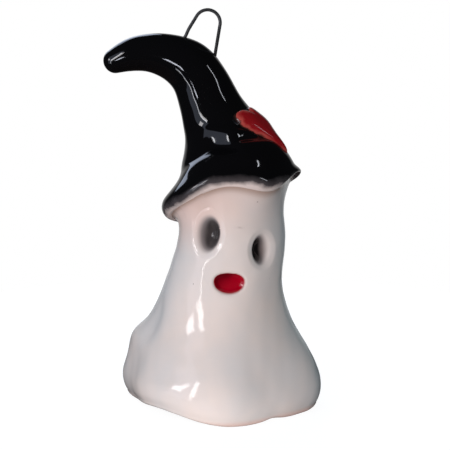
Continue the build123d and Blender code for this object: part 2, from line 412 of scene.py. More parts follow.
@dataclass(frozen=True)
class WhiteGlaze:
    """Warm white tin glaze, poured and fired over pale stoneware, with the colours that lie under it."""

    # Poured and fired, it is glassy and faintly rippled: sharp lights over a soft white that clouds between
    # warm and cool, turns pink where it runs thin over the clay, and shows small iron specks
    name: str = "white_tin_glaze_on_stoneware"
    warm: str = "#E4D9D4"
    cool: str = "#D8D5D5"
    thin: str = "#DDB9AE"
    # Brown of the crease under the brim: partly thin glaze over the clay, partly painted shade
    crease: str = "#9C7D6C"
    speck: str = "#6C5F58"
    clay: str = "#C9B29F"
    eye: str = "#161415"
    eye_wash: str = "#8C8586"
    mouth: str = "#9E001B"
    # Darker red painted as shade under the mouth's upper lip
    mouth_painted_shade: str = "#60000E"
    cloud: float = 22.0
    cloud_span: Pair = (0.35, 0.65)
    speck_spacing: float = 4.6
    speck_rarity: float = 0.4
    speck_size: float = 0.09
    speck_soft: float = 0.02
    speck_strength: float = 0.75
    peel: float = 2.6
    peel_depth: float = 0.02
    rough: float = 0.09
    clay_rough: float = 0.75
    ior: float = 1.52

    def white(self, tree: Tree, spot: Socket) -> Socket:
        """Mixes the clouded, specked white.

        Args:
            tree: The material's nodes.
            spot: Object coordinates.

        Returns:
            The colour.
        """
        pattern = {"Vector": spot, "Scale": per_mm(self.cloud), "Detail": 6.0}
        cloud = add_node(tree, "ShaderNodeTexNoise", pattern)
        low, high = self.cloud_span
        share = add_node(tree, "ShaderNodeMapRange", {0: cloud.outputs[0], 1: low, 2: high})
        tones = {0: share.outputs[0], 6: linear(self.warm), 7: linear(self.cool)}
        clouded = add_node(tree, "ShaderNodeMix", tones, data_type="RGBA")
        # Iron specks burn through the glaze: some cells hold a dot, mostly under half a millimetre across
        cells = add_node(tree, "ShaderNodeTexVoronoi", {"Vector": spot, "Scale": per_mm(self.speck_spacing)})
        sizes = {0: cells.outputs["Color"], 1: self.speck_rarity, 2: 1.0, 3: 0.0, 4: self.speck_size}
        size = add_node(tree, "ShaderNodeMapRange", sizes)
        gap = {0: size.outputs[0], 1: cells.outputs["Distance"]}
        inside = add_node(tree, "ShaderNodeMath", gap, operation="SUBTRACT")
        edge = {0: inside.outputs[0], 1: 0.0, 2: self.speck_soft, 3: 0.0, 4: self.speck_strength}
        dot = add_node(tree, "ShaderNodeMapRange", edge)
        tones = {0: dot.outputs[0], 6: clouded.outputs[2], 7: linear(self.speck)}
        return add_node(tree, "ShaderNodeMix", tones, data_type="RGBA").outputs[2]

    def peel_bump(self, tree: Tree, spot: Socket, depth: float) -> Socket:
        """Adds the faint orange peel of a fired glaze.

        Args:
            tree: The material's nodes.
            spot: Object coordinates.
            depth: How deep it is, in millimetres.

        Returns:
            The normal.
        """
        pattern = {"Vector": spot, "Scale": per_mm(self.peel), "Detail": 1.0}
        peel = add_node(tree, "ShaderNodeTexNoise", pattern)
        relief = {"Strength": 1.0, "Distance": depth * MM, "Height": peel.outputs[0]}
        return add_node(tree, "ShaderNodeBump", relief).outputs[0]

    def build(self) -> Material:
        """Makes the material, with the colours that a piece's marks lay over the white.

        Returns:
            The material.
        """
        material, tree, shader = new_material(self.name)
        spot = add_node(tree, "ShaderNodeTexCoord").outputs["Object"]
        colour = self.white(tree, spot)
        layers = (
            (Mark.THIN, (self.thin,)),
            # The crease's brown is partly thin glaze, partly painted shade
            (Mark.CREASE, (self.crease,)),
            (Mark.EYE, (self.eye_wash, self.eye)),
            # The mouth's upper half of shares darkens the red as painted shade
            (Mark.MOUTH, (self.mouth, self.mouth_painted_shade)),
            (Mark.BARE, (self.clay,)),
        )
        shares = {}
        for mark, shades in layers:
            shares[mark] = add_node(tree, "ShaderNodeAttribute", attribute_name=mark.value).outputs["Fac"]
            for order, shade in enumerate(shades):
                low = order / len(shades)
                span = {0: shares[mark], 1: low, 2: low + 1 / len(shades)}
                share = add_node(tree, "ShaderNodeMapRange", span)
                tones = {0: share.outputs[0], 6: colour, 7: linear(shade)}
                colour = add_node(tree, "ShaderNodeMix", tones, data_type="RGBA").outputs[2]
        span = {0: shares[Mark.BARE], 3: self.rough, 4: self.clay_rough}
        rough = add_node(tree, "ShaderNodeMapRange", span)
        tree.links.new(colour, shader.inputs["Base Color"])
        tree.links.new(rough.outputs[0], shader.inputs["Roughness"])
        tree.links.new(self.peel_bump(tree, spot, self.peel_depth), shader.inputs["Normal"])
        shader.inputs["IOR"].default_value = self.ior
        return material


@dataclass(frozen=True)
class BlackGlaze:
    """Black mirror glaze, poured over the hat so that it breaks to white under the brim's edge."""

    # A thick black gloss looks wet: near-black with hard lights, and a soft grey line where it runs out
    name: str = "black_mirror_glaze"
    black: str = "#08080A"
    grey: str = "#4A4648"
    black_line: Pair = (-1.0, 1.2)
    grey_line: Pair = (-2.3, -0.8)
    warm_share: float = 0.28
    stray: float = 5.0
    stray_span: Pair = (0.3, 0.7)
    stray_reach: float = 0.6
    peel_depth: float = 0.012
    rough: float = 0.06
    ior: float = 1.5

    def build(self, white: WhiteGlaze) -> Material:
        """Makes the material.

        Args:
            white: The glaze that shows under the brim.

        Returns:
            The material.
        """
        material, tree, shader = new_material(self.name)
        spot = add_node(tree, "ShaderNodeTexCoord").outputs["Object"]
        edge = add_node(tree, "ShaderNodeAttribute", attribute_name=Mark.EDGE.value).outputs["Fac"]
        thin = add_node(tree, "ShaderNodeAttribute", attribute_name=Mark.THIN.value).outputs["Fac"]
        pattern = {"Vector": spot, "Scale": per_mm(self.stray), "Detail": 4.0}
        stray = add_node(tree, "ShaderNodeTexNoise", pattern)
        low, high = self.stray_span
        reach = {0: stray.outputs[0], 1: low, 2: high, 3: -self.stray_reach, 4: self.stray_reach}
        wander = add_node(tree, "ShaderNodeMapRange", reach)
        line = add_node(tree, "ShaderNodeMath", {0: edge, 1: wander.outputs[0]}, operation="ADD").outputs[0]
        # Below the black the white is tinted pink, and the band by the head gets the crease brown: partly
        # thin glaze, partly painted shade
        layers = [(self.warm_share, white.thin), (thin, white.crease)]
        for (low, high), shade in (self.grey_line, self.grey), (self.black_line, self.black):
            layer = add_node(tree, "ShaderNodeMapRange", {0: line, 1: low, 2: high})
            layers.append((layer.outputs[0], shade))
        colour = white.white(tree, spot)
        for share, shade in layers:
            tones = {0: share, 6: colour, 7: linear(shade)}
            colour = add_node(tree, "ShaderNodeMix", tones, data_type="RGBA").outputs[2]
        tree.links.new(colour, shader.inputs["Base Color"])
        tree.links.new(white.peel_bump(tree, spot, self.peel_depth), shader.inputs["Normal"])
        shader.inputs["Roughness"].default_value = self.rough
        shader.inputs["IOR"].default_value = self.ior
        return material


@dataclass(frozen=True)
class HeartGlaze:
    """Iron red glaze, brushed on the clay heart by hand."""

    # Brushed red pools in the middle and wears thin on the edges: deep red and glossy, with a paler rim, and
    # black round its foot
    name: str = "iron_red_glaze"
    red: str = "#8A1218"
    worn: str = "#AE4A44"
    brown: str = "#3A211C"
    black: str = "#08080A"
    worn_line: Pair = (0.8, 0.99)
    brown_line: Pair = (0.97, 1.05)
    black_line: Pair = (1.08, 1.2)
    mottle: float = 3.5
    mottle_span: Pair = (0.3, 0.7)
    mottle_reach: float = 0.1
    mottle_depth: float = 0.04
    rough: float = 0.14
    ior: float = 1.5

    def build(self) -> Material:
        """Makes the material, shaded by how near each point is to the heart's edge.

        Returns:
            The material.
        """
        material, tree, shader = new_material(self.name)
        spot = add_node(tree, "ShaderNodeTexCoord").outputs["Object"]
        share = add_node(tree, "ShaderNodeAttribute", attribute_name=Mark.HEART.value).outputs["Fac"]
        pattern = {"Vector": spot, "Scale": per_mm(self.mottle), "Detail": 4.0}
        noise = add_node(tree, "ShaderNodeTexNoise", pattern).outputs[0]
        low, high = self.mottle_span
        reach = {0: noise, 1: low, 2: high, 3: -self.mottle_reach, 4: self.mottle_reach}
        wander = add_node(tree, "ShaderNodeMapRange", reach)
        line = add_node(tree, "ShaderNodeMath", {0: share, 1: wander.outputs[0]}, operation="ADD").outputs[0]
        layers = (
            (self.worn_line, self.worn),
            (self.brown_line, self.brown),
            (self.black_line, self.black),
        )
        colour = linear(self.red)
        for (low, high), shade in layers:
            edge = add_node(tree, "ShaderNodeMapRange", {0: line, 1: low, 2: high})
            tones = {0: edge.outputs[0], 6: colour, 7: linear(shade)}
            colour = add_node(tree, "ShaderNodeMix", tones, data_type="RGBA").outputs[2]
        relief = {"Strength": 1.0, "Distance": self.mottle_depth * MM, "Height": noise}
        bump = add_node(tree, "ShaderNodeBump", relief)
        tree.links.new(colour, shader.inputs["Base Color"])
        tree.links.new(bump.outputs[0], shader.inputs["Normal"])
        shader.inputs["Roughness"].default_value = self.rough
        shader.inputs["IOR"].default_value = self.ior
        return material


@dataclass(frozen=True)
class KilnWire:
    """Nickel-chrome kiln wire, drawn bright and then fired."""

    # Firing leaves a dull skin on the drawn wire: blotched dark grey with broad, soft lights
    name: str = "fired_nickel_chrome_wire"
    bright: str = "#4C4E52"
    dull: str = "#343638"
    scale: float = 4.0
    scale_span: Pair = (0.35, 0.65)
    scale_depth: float = 0.01
    bright_rough: float = 0.42
    dull_rough: float = 0.6
    metallic: float = 0.35

    def build(self) -> Material:
        """Makes the material.

        Returns:
            The material.
        """
        material, tree, shader = new_material(self.name)
        spot = add_node(tree, "ShaderNodeTexCoord").outputs["Object"]
        pattern = {"Vector": spot, "Scale": per_mm(self.scale), "Detail": 4.0}
        noise = add_node(tree, "ShaderNodeTexNoise", pattern).outputs[0]
        low, high = self.scale_span
        share = add_node(tree, "ShaderNodeMapRange", {0: noise, 1: low, 2: high}).outputs[0]
        tones = {0: share, 6: linear(self.dull), 7: linear(self.bright)}
        colour = add_node(tree, "ShaderNodeMix", tones, data_type="RGBA")
        rough = add_node(tree, "ShaderNodeMapRange", {0: share, 3: self.dull_rough, 4: self.bright_rough})
        relief = {"Strength": 1.0, "Distance": self.scale_depth * MM, "Height": noise}
        bump = add_node(tree, "ShaderNodeBump", relief)
        tree.links.new(colour.outputs[2], shader.inputs["Base Color"])
        tree.links.new(rough.outputs[0], shader.inputs["Roughness"])
        tree.links.new(bump.outputs[0], shader.inputs["Normal"])
        shader.inputs["Metallic"].default_value = self.metallic
        return material


@dataclass(frozen=True)
class Fold:
    """A soft fold of the skirt: where it points, its reach and spread, and its reach at the hip."""

    direction: float
    reach: float
    spread: float
    hip_reach: float


@dataclass(frozen=True)
class Outline:
    """An oval on the face whose upper and lower halves differ in height and squareness."""

    width: float
    upper: float
    lower: float
    square: float = 2.0

    def away(self, right: Array, up: Array) -> Array:
        """Measures how far points lie from the middle.

        Args:
            right: Distances to the right of the middle.
            up: Distances above it.

        Returns:
            Shares of the way to the outline.
        """
        tall = np.where(up > 0, self.upper, self.lower)
        power = np.where(up > 0, self.square, 2.0)
        total = np.abs(right / (self.width / 2)) ** power + np.abs(up / tall) ** power
        return total ** (1 / power)


@dataclass(frozen=True)
class Hollow:
    """A feature pressed into the face: a soft bowl with a steeper hole in it, and colour in the hole."""

    direction: float
    height: float
    turn: float
    rim: Outline
    bowl: float
    hole: Outline
    depth: float
    steep: float
    colour: Outline
    shift: Pair
    crisp_towards: float
    crisp: float
    feather: float
    strength: float = 1.0
    # A hollow's colour can darken towards one side as painted shade; thin is its share away from that side,
    # and 1 keeps it even
    thin: float = 1.0
    painted_shade_towards: float = 90.0
    painted_shade_span: Pair = (-0.4, 0.9)
    bowl_power: float = 1.2
    feather_power: float = 1.5
    hole_edge: float = 1.1

    def dent(self, right: Array, up: Array) -> Array:
        """How deep the clay is pressed.

        Args:
            right: Distances to the right of the hollow's middle.
            up: Distances above it.

        Returns:
            Depths in millimetres.
        """
        bowl = self.bowl * np.clip(1 - self.rim.away(right, up) ** 2, 0, None) ** self.bowl_power
        return bowl + self.depth * (1 - ease(self.hole.away(right, up), self.steep, self.hole_edge))

    def shade(self, right: Array, up: Array) -> Array:
        """How strong the colour is.

        Args:
            right: Distances to the right of the hollow's middle.
            up: Distances above it.

        Returns:
            Shares from 0 to 1.
        """
        side, rise = right - self.shift[0], up - self.shift[1]
        away = self.colour.away(side, rise)
        towards = np.cos(np.arctan2(rise, side) - radians(self.crisp_towards))
        soft = self.crisp + self.feather * (0.5 - 0.5 * towards) ** self.feather_power
        # Painted shade: towards one side, the colour's share rises into its darker tone
        toward_painted_shade = np.cos(np.arctan2(rise, side) - radians(self.painted_shade_towards)) * away
        painted_shade_share = self.thin + (1 - self.thin) * ease(toward_painted_shade, *self.painted_shade_span)
        return self.strength * painted_shade_share * (1 - ease(away, 1 - soft, 1 + soft))


@dataclass
class GhostBody:
    """The hollow draped body with its pressed face and the colour that lies in it."""

    foot_radius: float = 21.4
    hem_radius: float = 23.2
    skirt_radius: float = 21.8
    hip_radius: float = 20.0
    waist_radius: float = 17.4
    cheek_radius: float = 16.3
    head_radius: float = 15.1
    hem_height: float = 3.5
    skirt_height: float = 12.5
    hip_height: float = 24.5
    waist_height: float = 36.5
    cheek_height: float = 48.0
    head_height: float = 58.2
    waist_shift: float = 0.5
    cheek_shift: float = 2.6
    head_shift: float = 2.6
    cheek_tilt: float = 0.3
    wall: float = 4.5
    hem_round: float = 1.7
    hem_lift: Touch = Touch(2.8, -132, 34)
    hem_nick: Touch = Touch(0.8, -56, 8)
    hem_fade: Pair = (2.0, 16.0)
    lip_thin: float = 0.75
    lip_span: Pair = (0.4, 2.6)
    crease: Touch = Touch(0.45, 197, 9)
    crease_start: Pair = (17.0, 22.0)
    crease_end: Pair = (24.0, 35.0)
    shoulder_reach: float = 1.9
    shoulder_towards: float = 172.0
    shoulder_spread: Pair = (16.0, 30.0)
    shoulder_height: float = 18.5
    shoulder_rise: float = 4.2
    swells: tuple[Swell, ...] = (Swell(0.16, 16, 3), Swell(0.05, 6, 4))
    swell_fade: Pair = (8.0, 1.0)
    warm_share: float = 0.2
    warm_left: Touch = Touch(0.34, -130, 45)
    warm_reach: float = 14.0
    tilt_back: float = 23.0
    roll: float = 12.0
    folds: tuple[Fold, ...] = (
        Fold(-88, 5.8, 32, 1.4),
        Fold(-20, 6.8, 36, 1.4),
        Fold(48, 4.4, 28, 1.2),
        Fold(104, 5.4, 28, 1.6),
        Fold(160, 7.3, 25, 2.8),
        Fold(-142, 4.4, 38, 0.4),
    )
    left_eye: Hollow = Hollow(
        direction=-115,
        height=53.2,
        turn=-5,
        rim=Outline(10.6, 7.0, 7.2),
        bowl=1.5,
        hole=Outline(7.2, 5.0, 5.4),
        depth=2.0,
        steep=0.05,
        colour=Outline(6.2, 4.6, 4.8),
        shift=(0.3, 0.1),
        crisp_towards=0,
        crisp=0.1,
        feather=0.52,
        strength=0.92,
    )
    right_eye: Hollow = Hollow(
        direction=-55.6,
        height=48.6,
        turn=0,
        rim=Outline(10.0, 6.0, 6.2),
        bowl=1.5,
        hole=Outline(6.4, 4.4, 4.6),
        depth=2.4,
        steep=0.2,
        colour=Outline(4.8, 3.8, 4.0),
        shift=(-0.7, 0.0),
        crisp_towards=180,
        crisp=0.12,
        feather=0.4,
    )
    mouth: Hollow = Hollow(
        direction=-92,
        height=39.8,
        turn=-2,
        rim=Outline(10.4, 4.0, 5.2),
        bowl=0.5,
        hole=Outline(9.3, 2.8, 3.6, 2.5),
        depth=1.2,
        steep=0.62,
        colour=Outline(8.8, 2.5, 3.4, 2.4),
        shift=(0.1, 0.0),
        crisp_towards=90,
        crisp=0.05,
        feather=0.06,
        # Painted shade at the mouth's top left, under its upper lip
        thin=0.5,
        painted_shade_towards=135,
    )
    press_behind: float = 10.0
    press_share: float = 1.5
    top_shares: tuple[float, ...] = (0.9, 0.6, 0.3)
    columns: int = 320
    outer_rows: int = 210
    inner_rows: int = 40
    lip_rows: int = 10
    patch_rings: int = 22
    patch_sides: int = 56
    patch_middle: float = 0.04
    patch_stand: float = 12.0
    patch_lift: float = 0.03
    patch_depth: float = 0.35
    sharp: float = 60.0
    angles: Array = field(init=False)
    seat: Place = field(init=False)
    outer: Array = field(init=False)

    def __post_init__(self) -> None:
        """Works out the ring's directions and where the hat sits."""
        self.angles = np.arange(self.columns) * 360 / self.columns
        top = np.array([self.head_shift, 0.0, self.head_height])
        self.seat = Place.tilted(top, self.roll, self.tilt_back)

    def fold_reach(self, at_hip: bool) -> Array:
        """Adds up the folds.

        Args:
            at_hip: Whether to take their reach at the hip or at the hem.

        Returns:
            How far they stand out of the plain cone, all round.
        """
        reach = np.zeros(self.columns)
        for fold in self.folds:
            size = fold.hip_reach if at_hip else fold.reach
            reach += size * bell(turned(self.angles, fold.direction), fold.spread)
        return reach

    def rings(self, inset: float, foot: float, top: Place) -> Array:
        """The rings that the drape hangs over.

        Args:
            inset: How far inside the outer skin they lie.
            foot: Height of the lowest ring.
            top: Where the highest ring lies.

        Returns:
            The rings from the foot up.
        """
        low, hip = self.fold_reach(False), self.fold_reach(True)
        cheek_middle = np.array([self.cheek_shift, 0.0, self.cheek_height])
        cheek = Place.tilted(cheek_middle, self.roll * self.cheek_tilt, self.tilt_back * self.cheek_tilt)
        waist = Place.level((self.waist_shift, 0, self.waist_height))
        rows = [
            Place.level((0, 0, foot)).ring(self.angles, self.foot_radius - inset + low),
            Place.level((0, 0, self.hem_height)).ring(self.angles, self.hem_radius - inset + low),
            Place.level((0, 0, self.skirt_height)).ring(self.angles, self.skirt_radius - inset + low),
            Place.level((0, 0, self.hip_height)).ring(self.angles, self.hip_radius - inset + hip),
            waist.ring(self.angles, self.waist_radius - inset),
            cheek.ring(self.angles, self.cheek_radius - inset),
            top.ring(self.angles, self.head_radius - inset),
        ]
        return np.array(rows)

    def spot_on_skin(self, direction: float, height: float) -> Place:
        """Where a level line from the head's middle leaves the skin.

        Args:
            direction: Degrees from +X towards +Y.
            height: Millimetres above the foot.

        Returns:
            The place, facing outwards.
        """
        away = self.outer - np.array([self.head_shift, 0.0, height])
        angle = np.degrees(np.arctan2(away[..., 1], away[..., 0]))
        reach = np.hypot(away[..., 0], away[..., 1])
        miss = np.hypot(np.radians(turned(angle, direction)) * reach, away[..., 2])
        nearest = np.unravel_index(np.argmin(miss), miss.shape)
        return Place.facing(self.outer[nearest], ring_normals(self.outer)[nearest])

    def drape(self) -> None:
        """Shapes the outer skin: folds, the crease and shoulder at the left, a lifted hem and hand work."""
        rows, _ = smooth_rows(self.rings(0.0, 0.0, self.seat), self.outer_rows, self.hem_round)
        normals = ring_normals(rows)
        height = rows[..., 2]
        swell = sum(swell.over(rows) for swell in self.swells)
        low = ease(height, *self.crease_start) * (1 - ease(height, *self.crease_end))
        crease = self.crease.around(self.angles) * low
        beside = turned(self.angles, self.shoulder_towards)
        narrow, wide = self.shoulder_spread
        shoulder = self.shoulder_reach * bell(beside, np.where(beside > 0, wide, narrow))
        shoulder = shoulder * bell(height - self.shoulder_height, self.shoulder_rise)
        start, end = self.swell_fade
        fade = 1 - ease(height, self.head_height - start, self.head_height - end)
        rows = rows + normals * ((swell - crease + shoulder) * fade)[..., None]
        lift = self.hem_lift.around(self.angles) + self.hem_nick.around(self.angles)
        rows[..., 2] += lift * (1 - ease(rows[..., 2], *self.hem_fade))
        self.outer = rows

    def press(self, hollow: Hollow) -> tuple[Place, Array]:
        """Presses one hollow into the outer skin.

        Args:
            hollow: What to press.

        Returns:
            Where it lies, and the colour's strength over the skin.
        """
        spot = self.spot_on_skin(hollow.direction, hollow.height).spun(hollow.turn)
        right, up, out = spot.measure(self.outer)
        near = (out > -self.press_behind) & (hollow.rim.away(right, up) < self.press_share)
        depth = np.where(near, hollow.dent(right, up), 0.0)
        colour = np.where(near, hollow.shade(right, up), 0.0)
        self.outer = self.outer - depth[..., None] * spot.out
        return spot, colour

    def patch(self, name: str, hollow: Hollow, spot: Place, mark: Mark, skin: BVHTree) -> Piece:
        """Lays the colour of one hollow over the clay as a thin piece of its own.

        Args:
            name: The piece's name.
            hollow: The hollow that it lies in.
            spot: Where the hollow is.
            mark: What the colour is.
            skin: The pressed body, in metres.

        Returns:
            The closed piece.
        """
        turn = np.radians(np.arange(self.patch_sides) * 360 / self.patch_sides)
        share = np.linspace(1.0, self.patch_middle, self.patch_rings)[:, None]
        reach = share / hollow.colour.away(np.cos(turn), np.sin(turn))
        right = hollow.shift[0] + reach * np.cos(turn)
        up = hollow.shift[1] + reach * np.sin(turn)
        start = spot.at(right, up, np.full(right.shape, self.patch_stand)) * MM
        front = np.zeros((*right.shape, 3))
        for index in np.ndindex(right.shape):
            hit = skin.ray_cast(Vector(start[index]), Vector(-spot.out))[0]
            front[index] = np.array(hit) / MM
        back = front[::-1] - self.patch_depth * spot.out
        rows = np.concatenate([back, front + self.patch_lift * spot.out])
        colour = hollow.shade(right, up)
        values = np.concatenate([colour[::-1], colour])
        marks = {every: np.zeros_like(values) for every in WHITE_MARKS}
        marks[mark] = values
        piece = skin_mesh(name, rows, marks)
        piece.data.set_sharp_from_angle(angle=radians(self.sharp))
        return piece

    def warmth(self, rows: Array) -> Array:
        """How much darker and pinker the glaze is made below the hat, most at the left front.

        Args:
            rows: Rings of points, in the body's columns.

        Returns:
            Shares from 0 to 1.
        """
        below = -self.seat.measure(rows)[2]
        share = self.warm_share + self.warm_left.around(self.angles)
        return share * (1 - ease(below, 0, self.warm_reach))

    def build(self, material: Material, eye: Material, mouth: Material) -> None:
        """Makes the body and the three pools of colour.

        Args:
            material: The body's glaze.
            eye: The eyes' finish.
            mouth: The mouth's finish.
        """
        self.drape()
        left_spot, left_colour = self.press(self.left_eye)
        right_spot, right_colour = self.press(self.right_eye)
        mouth_spot, mouth_colour = self.press(self.mouth)
        ceiling = self.seat.moved(0, 0, -self.wall)
        inner, _ = smooth_rows(self.rings(self.wall, 0.0, ceiling), self.inner_rows, self.hem_round)
        inner = inner[::-1]
        rise = self.outer[0, :, 2] - inner[-1, :, 2]
        inner[..., 2] += rise * (1 - ease(inner[..., 2], *self.hem_fade))
        turn = np.linspace(0, pi, self.lip_rows + 2)[1:-1, None, None]
        lip = inner[-1] + (self.outer[0] - inner[-1]) * (1 - np.cos(turn)) / 2
        lip[..., 2] = np.maximum(lip[..., 2] - (self.hem_round * np.sin(turn))[..., 0], 0.0)
        top = np.array([self.seat.ring(self.angles, self.head_radius * share) for share in self.top_shares])
        rows = np.concatenate([inner, lip, self.outer, top])
        hem, start = len(inner), len(inner) + len(lip)
        skin = slice(start, start + len(self.outer))
        marks = {mark: np.zeros(rows.shape[:2]) for mark in WHITE_MARKS}
        marks[Mark.EYE][skin] = np.maximum(left_colour, right_colour)
        marks[Mark.MOUTH][skin] = mouth_colour
        marks[Mark.BARE][:hem] = 1.0
        marks[Mark.BARE][hem:start] = np.linspace(1, 0, len(lip))[:, None] ** 2
        marks[Mark.THIN][hem:] = self.lip_thin * (1 - ease(rows[hem:, :, 2], *self.lip_span))
        marks[Mark.THIN][skin] += self.warmth(self.outer)
        piece = skin_mesh("ghost_body_glazed", rows, marks)
        tree = BVHTree.FromPolygons(
            [Vector(point) for point in rows.reshape(-1, 3) * MM],
            ring_faces(len(rows), self.columns).tolist(),
        )
        hand_over(piece, material, Slot.WHITE, "ghost_body")
        pools = (
            ("left_eye_colour", self.left_eye, left_spot, Mark.EYE, eye, Slot.EYE),
            ("right_eye_colour", self.right_eye, right_spot, Mark.EYE, eye, Slot.EYE),
            ("mouth_colour", self.mouth, mouth_spot, Mark.MOUTH, mouth, Slot.MOUTH),
        )
        for node, hollow, spot, mark, finish, slot in pools:
            pool = self.patch(node + "_glazed", hollow, spot, mark, tree)
            hand_over(pool, finish, slot, node)


@dataclass(frozen=True)
class BrimRow:
    """A ring of the brim, in shares of its flare, gather, edge waves, height and shift to the crown."""

    flare: float
    gather: float
    waves: float
    rise: float
    shift: float


@dataclass(frozen=True)
class BrimTouch:
    """A hand's mark along the brim: its side, how far above the brim's edge it lies, and its reach there."""

    side: Touch
    above: float
    reach: float

    def over(self, angles: Array, edge: Array) -> Array:
        """How much of it each point gets, by its direction and its distance above the edge."""
        return self.side.around(angles) * bell(edge - self.above, self.reach)


@dataclass(frozen=True)
class Station:
    """A ring of the crown: the step that leads to it, the step's heading and lean, and its radius."""

    step: float
    heading: float
    lean: float
    radius: float


@dataclass
class PointedHat:
    """The tilted black hat: a thick rolled brim and a tapering crown that bends over."""

    seat: Place
    head_radius: float
    slip: float = 0.4
    brim_radius: float = 20.8
    brim_lift: float = 3.6
    brim_lean: float = 1.0
    brim_wave: float = 0.8
    brim_waves: int = 4
    brim_height: float = 10.0
    crown_foot_radius: float = 17.2
    crown_side: float = 3.4
    crown_forward: float = 2.0
    brim_rows: tuple[BrimRow, ...] = (
        BrimRow(0, 0, 0, 0, 0),
        BrimRow(0.4, 0, 0.35, 0, 0.1),
        BrimRow(0.78, 0, 0.8, -0.08, 0.2),
        BrimRow(1, 0, 1, 0, 0.25),
        BrimRow(1, 0.2, 0.8, 0.31, 0.4),
        BrimRow(1, 0.6, 0.4, 0.62, 0.7),
        BrimRow(1, 1, 0, 1, 1),
    )
    edge_row: int = 3
    stations: tuple[Station, ...] = (
        Station(6.2, 20.5, 19.3, 14.5),
        Station(6.5, 18.3, 12.1, 11.5),
        Station(6.55, 24.5, 5.3, 9.4),
        Station(6.3, 22, 2, 8.5),
        Station(8.0, 33, 2, 7.8),
        Station(10.0, 68.2, 1, 5.9),
        Station(8.1, 92.3, 0, 4.65),
        Station(5.35, 111, 0, 3.5),
    )
    swells: tuple[Swell, ...] = (Swell(0.12, 13, 11), Swell(0.025, 5, 12))
    roll: BrimTouch = BrimTouch(Touch(0.5, -82, 48), 7.0, 3.5)
    groove: BrimTouch = BrimTouch(Touch(0.9, -82, 48), 13.2, 1.8)
    relief_start: Pair = (0.5, 6.0)
    left_hang: BrimTouch = BrimTouch(Touch(1.2, 182, 26), -1.8, 2.2)
    right_lift: BrimTouch = BrimTouch(Touch(3.0, 2, 26), -2.8, 2.2)
    back_lift: BrimTouch = BrimTouch(Touch(2.6, 38, 20), -0.5, 4.0)
    right_jut: BrimTouch = BrimTouch(Touch(0.8, 2, 26), 0.6, 2.0)
    front_sag: Touch = Touch(2.9, -54, 27)
    sag_fade: Pair = (1.5, 11.0)
    press_middle: Point = (-0.2, -7.4, 79.9)
    press_out: Point = (-0.41, -0.86, 0.27)
    press_width: float = 5.0
    press_height: float = 2.8
    press_square: int = 4
    black_under: Touch = Touch(1.2, 2, 26)
    # A band of crease brown on the brim's underside by the head: partly thin glaze, partly painted shade
    thin_glaze_and_shade_share: float = 0.5
    thin_glaze_and_shade_run: float = 0.8
    thin_glaze_and_shade_reach: float = 0.9
    sharp: float = 50.0
    columns: int = 320
    profile_rows: int = 300
    tip_rows: int = 10
    angles: Array = field(init=False)
    rows: Array = field(init=False)
    edge: Array = field(init=False)
    sag: Array = field(init=False)
    brim_top: int = field(init=False)

    def __post_init__(self) -> None:
        """Works out the ring's directions."""
        self.angles = np.arange(self.columns) * 360 / self.columns

    def brim_rings(self) -> list[Array]:
        """Makes the rings of the brim.

        Returns:
            The rings from the head's rim out to the brim's edge and up to the crown.
        """
        turn = np.radians(self.angles)
        waves = self.brim_wave * np.cos(self.brim_waves * turn)
        lift = self.brim_lift + self.brim_lean * np.cos(turn) + waves
        foot = self.seat.moved(0, 0, self.slip)
        rings = []
        for row in self.brim_rows:
            radius = self.head_radius + (self.brim_radius - self.head_radius) * row.flare
            radius -= (self.brim_radius - self.crown_foot_radius) * row.gather
            side, forward = self.crown_side * row.shift, self.crown_forward * row.shift
            place = foot.moved(side, -forward, self.brim_height * row.rise)
            rings.append(place.ring(self.angles, radius, row.waves * lift))
        return rings

    def crown_rings(self) -> tuple[list[Array], Place]:
        """Makes the rings of the crown along its bent line.

        Returns:
            The rings, and the place of the last one.
        """
        place = self.seat.moved(self.crown_side, -self.crown_forward, self.brim_height + 2 * self.slip)
        point = place.origin
        rings = []
        following = (*self.stations[1:], self.stations[-1])
        for station, after in zip(self.stations, following):
            point = point + heading_vector(station.heading, station.lean) * station.step
            heading, lean = (station.heading + after.heading) / 2, (station.lean + after.lean) / 2
            place = Place.tilted(point, heading, lean)
            rings.append(place.ring(self.angles, station.radius))
        return rings, place

    def tip_rings(self, last: Place) -> list[Array]:
        """Makes the rings of the rounded tip.

        Args:
            last: The place of the crown's last ring.

        Returns:
            Rings on a ball that carries on the crown's taper.
        """
        end, before = self.stations[-1], self.stations[-2]
        taper = np.arctan2(before.radius - end.radius, end.step)
        ball = end.radius / cos(taper)
        middle = last.moved(0, 0, -ball * sin(taper))
        rings = []
        for turn in np.linspace(taper, pi / 2, self.tip_rows + 2)[1:-1]:
            rings.append(middle.moved(0, 0, ball * sin(turn)).ring(self.angles, ball * cos(turn)))
        return rings

    def relief(self, rows: Array) -> Array:
        """Works out how far the skin stands out of its plain form.

        Args:
            rows: The plain rings.

        Returns:
            Heights of the hand's swells, the brim's roll and the groove over it.
        """
        swell = sum(swell.over(rows) for swell in self.swells)
        roll = self.roll.over(self.angles, self.edge)
        groove = self.groove.over(self.angles, self.edge)
        return (swell + roll - groove) * ease(self.edge, *self.relief_start)

    def flattened(self, rows: Array) -> Array:
        """Presses a small flat into the front of the crown.

        Args:
            rows: The rings before the press.

        Returns:
            The pressed rings.
        """
        out = unit(np.array(self.press_out))
        away = rows - np.array(self.press_middle)
        side = (away[..., 0] / self.press_width) ** self.press_square
        rise = (away[..., 2] / self.press_height) ** self.press_square
        near = np.exp(-side - rise) * (rows[..., 1] < 0)
        return rows - (near * (away @ out))[..., None] * out

